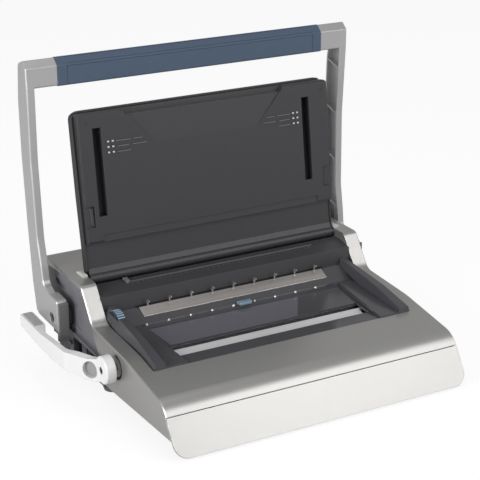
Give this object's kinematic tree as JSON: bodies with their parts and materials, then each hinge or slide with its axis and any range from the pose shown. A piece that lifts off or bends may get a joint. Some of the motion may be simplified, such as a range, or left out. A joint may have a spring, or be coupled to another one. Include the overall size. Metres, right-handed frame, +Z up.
{
  "type": "wire binding machine",
  "caption": "Manual desktop wire binding machine with a U-shaped punch handle, folding paper cover, wire hooks, side closing lever and chip drawer.",
  "frame": {"origin": "on the table, at the undersides of the feet, under the middle of the whole machine at rest", "axes": "+X to the user's right, +Y to the back, +Z up"},
  "size_m": [0.5272, 0.4088, 0.4381],
  "materials": {
    "housing_silver": "satin metallic grey paint",
    "cover_black": "satin moulded",
    "side_grey": "fine moulded texture",
    "base_black": "fine moulded texture",
    "foot_rubber": "matt",
    "deck_dark": "fine moulded texture",
    "throat_dark": "fine moulded texture",
    "panel_dark": "fine moulded texture",
    "frame_steel": "zinc plated",
    "bright_steel": "brushed",
    "tool_steel": "ground",
    "bush_brass": "turned",
    "arm_silver": "satin moulded silver",
    "grip_blue": "soft matt",
    "buffer_grey": "matt",
    "hub_grey": "ribbed",
    "lever_white": "satin",
    "pad_grey": "stippled",
    "wheel_blue": "ribbed",
    "cap_light": "satin",
    "screw_black": "black oxide",
    "tray_grey": "smooth moulded"
  },
  "bodies": {
    "chassis": {"base_pan": "base_black", "rubber_feet": "foot_rubber", "top_housing": "housing_silver", "left_side_cover": "side_grey", "right_side_cover": "side_grey", "rear_cover": "base_black", "left_frame_plate": "frame_steel", "right_frame_plate": "frame_steel", "pivot_bushes": "bush_brass", "closer_bushes": "bush_brass", "tie_rod": "frame_steel", "binding_deck": "deck_dark", "throat_block": "throat_dark", "die_plate": "tool_steel", "pin_guide": "tool_steel", "paper_stop": "tool_steel", "wire_hooks": "bright_steel", "fixed_jaw": "bright_steel", "hinge_caps": "cap_light", "cover_hinge_pins": "bright_steel", "wheel_bracket": "base_black", "wheel_axle": "bright_steel"},
    "catch": {"catch_strip": "bright_steel", "slider_button": "deck_dark"},
    "guide": {"edge_guide": "side_grey"},
    "wheel": {"size_wheel": "wheel_blue"},
    "drawer": {"drawer_front": "housing_silver", "drawer_tray": "tray_grey"},
    "handle": {"handle_arm_left": "arm_silver", "handle_arm_right": "arm_silver", "handle_core": "frame_steel", "handle_grip": "grip_blue", "handle_shaft": "bright_steel", "handle_hubs": "hub_grey", "handle_bolts": "screw_black", "handle_buffers": "buffer_grey", "drive_pinions": "tool_steel"},
    "punch": {"punch_bar": "frame_steel", "punch_pins": "tool_steel", "punch_racks": "tool_steel"},
    "cover": {"cover_shell": "cover_black", "cover_panel": "panel_dark"},
    "lever": {"closer_lever": "lever_white", "lever_pad": "pad_grey", "lever_screw": "screw_black", "closer_shaft": "bright_steel", "closer_cams": "tool_steel"},
    "closer": {"closer_bar": "bright_steel", "closer_yokes": "bright_steel"}
  },
  "joints": [
    {"name": "handle_hinge", "type": "hinge", "parent": "chassis", "child": "handle", "pos_m": [0.0084, 0.1196, 0.0853], "axis": [1, 0, 0], "range_deg": [0, 90]},
    {"name": "punch_slide", "type": "slide", "parent": "chassis", "child": "punch", "axis": [0, -0.9882, 0.153], "range_m": [0, 0.01414]},
    {"name": "cover_hinge", "type": "hinge", "parent": "chassis", "child": "cover", "pos_m": [0.0084, 0.1036, 0.137], "axis": [1, 0, 0], "range_deg": [0, 106]},
    {"name": "lever_hinge", "type": "hinge", "parent": "chassis", "child": "lever", "pos_m": [-0.2366, -0.0334, 0.064], "axis": [1, 0, 0], "range_deg": [0, 95]},
    {"name": "closer_slide", "type": "slide", "parent": "chassis", "child": "closer", "axis": [0, 1, 0], "range_m": [0, 0.007]},
    {"name": "size_wheel_hinge", "type": "hinge", "parent": "chassis", "child": "wheel", "pos_m": [-0.1806, 0.0341, 0.0933], "axis": [1, 0, 0], "range_deg": [0, 90]},
    {"name": "catch_slide", "type": "slide", "parent": "chassis", "child": "catch", "axis": [1, 0, 0], "range_m": [0, 0.00847]},
    {"name": "guide_slide", "type": "slide", "parent": "chassis", "child": "guide", "axis": [1, 0, 0], "range_m": [0, 0.01]},
    {"name": "drawer_slide", "type": "slide", "parent": "chassis", "child": "drawer", "axis": [0, -1, 0], "range_m": [0, 0.15]}
  ],
  "couplings": [
    {"joint": "punch_slide", "follows": "handle_hinge", "m_per_rad": 0.009},
    {"joint": "closer_slide", "follows": "lever_hinge", "m_per_rad": 0.0042218}
  ]
}
